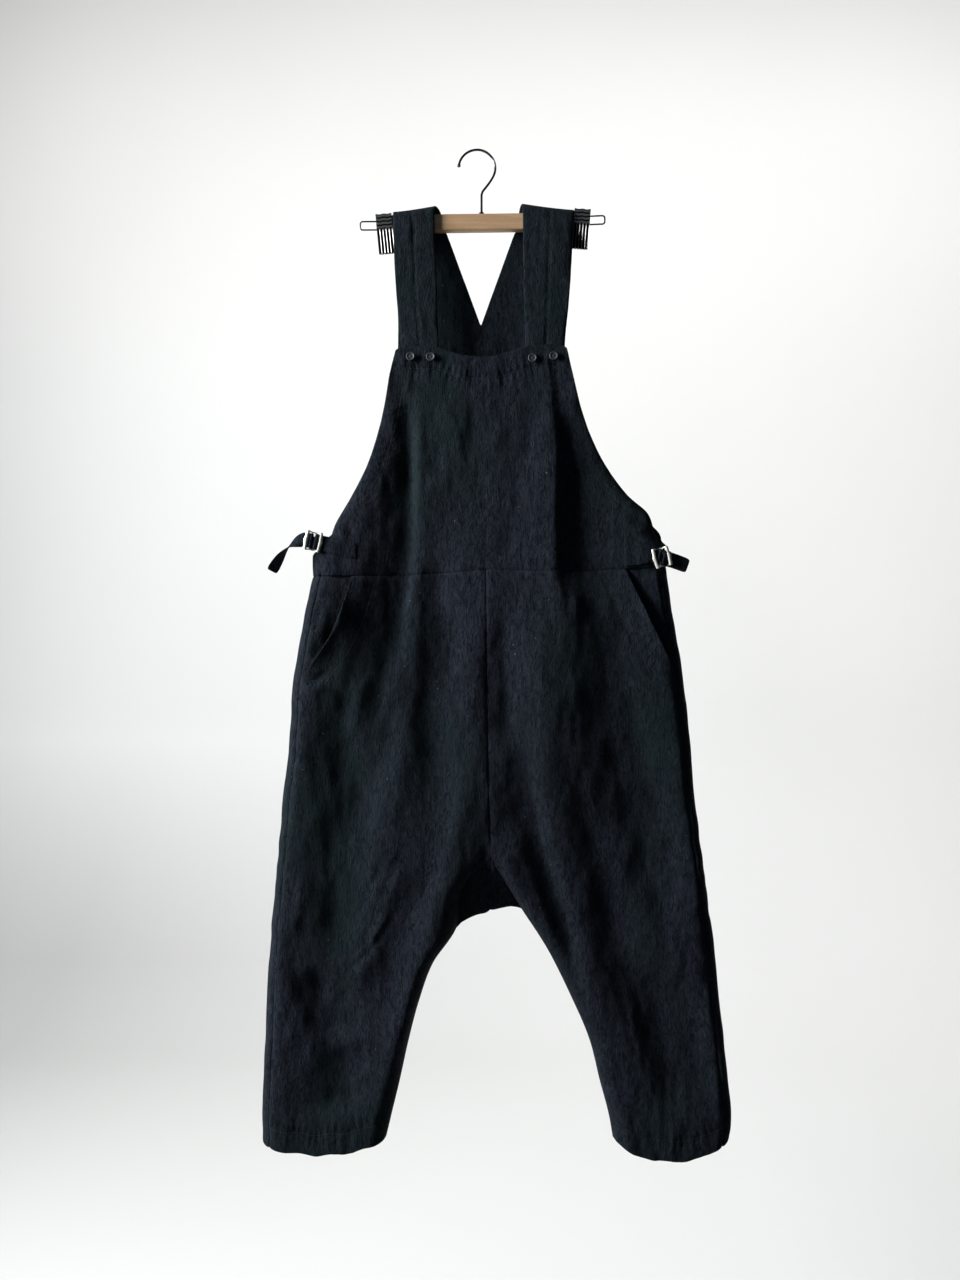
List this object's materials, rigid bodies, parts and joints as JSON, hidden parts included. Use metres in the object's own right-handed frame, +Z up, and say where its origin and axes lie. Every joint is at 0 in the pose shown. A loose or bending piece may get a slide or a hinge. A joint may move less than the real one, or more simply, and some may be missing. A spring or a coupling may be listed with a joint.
{
  "type": "dungarees and hanger",
  "caption": "Cropped wide-leg dungarees in black cloth, hanging flat by their buttoned straps over the wooden bar of a trouser-clip hanger.",
  "frame": {"origin": "top of the inside of the hanger's hook, where it hangs", "axes": "+Z up; -Y is the front of the garment, +Y its back and the wall behind; +X is the viewer's right seen from the front"},
  "size_m": [0.6255, 0.0607, 1.3437],
  "materials": {
    "cloth": "matt black crinkled wool and linen weave",
    "button": "satin black",
    "buckle": "polished nickel",
    "wood": "oiled beech",
    "hanger_metal": "polished plate"
  },
  "bodies": {
    "root": {"front_bib": "cloth", "back_bib": "cloth", "front_leg_left": "cloth", "front_leg_right": "cloth", "back_leg_left": "cloth", "back_leg_right": "cloth", "pocket_hip_left": "cloth", "pocket_hip_right": "cloth", "strap_left": "cloth", "strap_right": "cloth", "tab_left": "cloth", "tab_right": "cloth", "strip_left": "cloth", "strip_right": "cloth", "buckle_left": "buckle", "buckle_right": "buckle", "button_1": "button", "button_2": "button", "button_3": "button", "button_4": "button", "hanger_bar": "wood", "hanger_hook": "hanger_metal", "hanger_rail_left": "hanger_metal", "hanger_rail_right": "hanger_metal", "hanger_clip_left": "hanger_metal", "hanger_clip_right": "hanger_metal"}
  },
  "joints": []
}
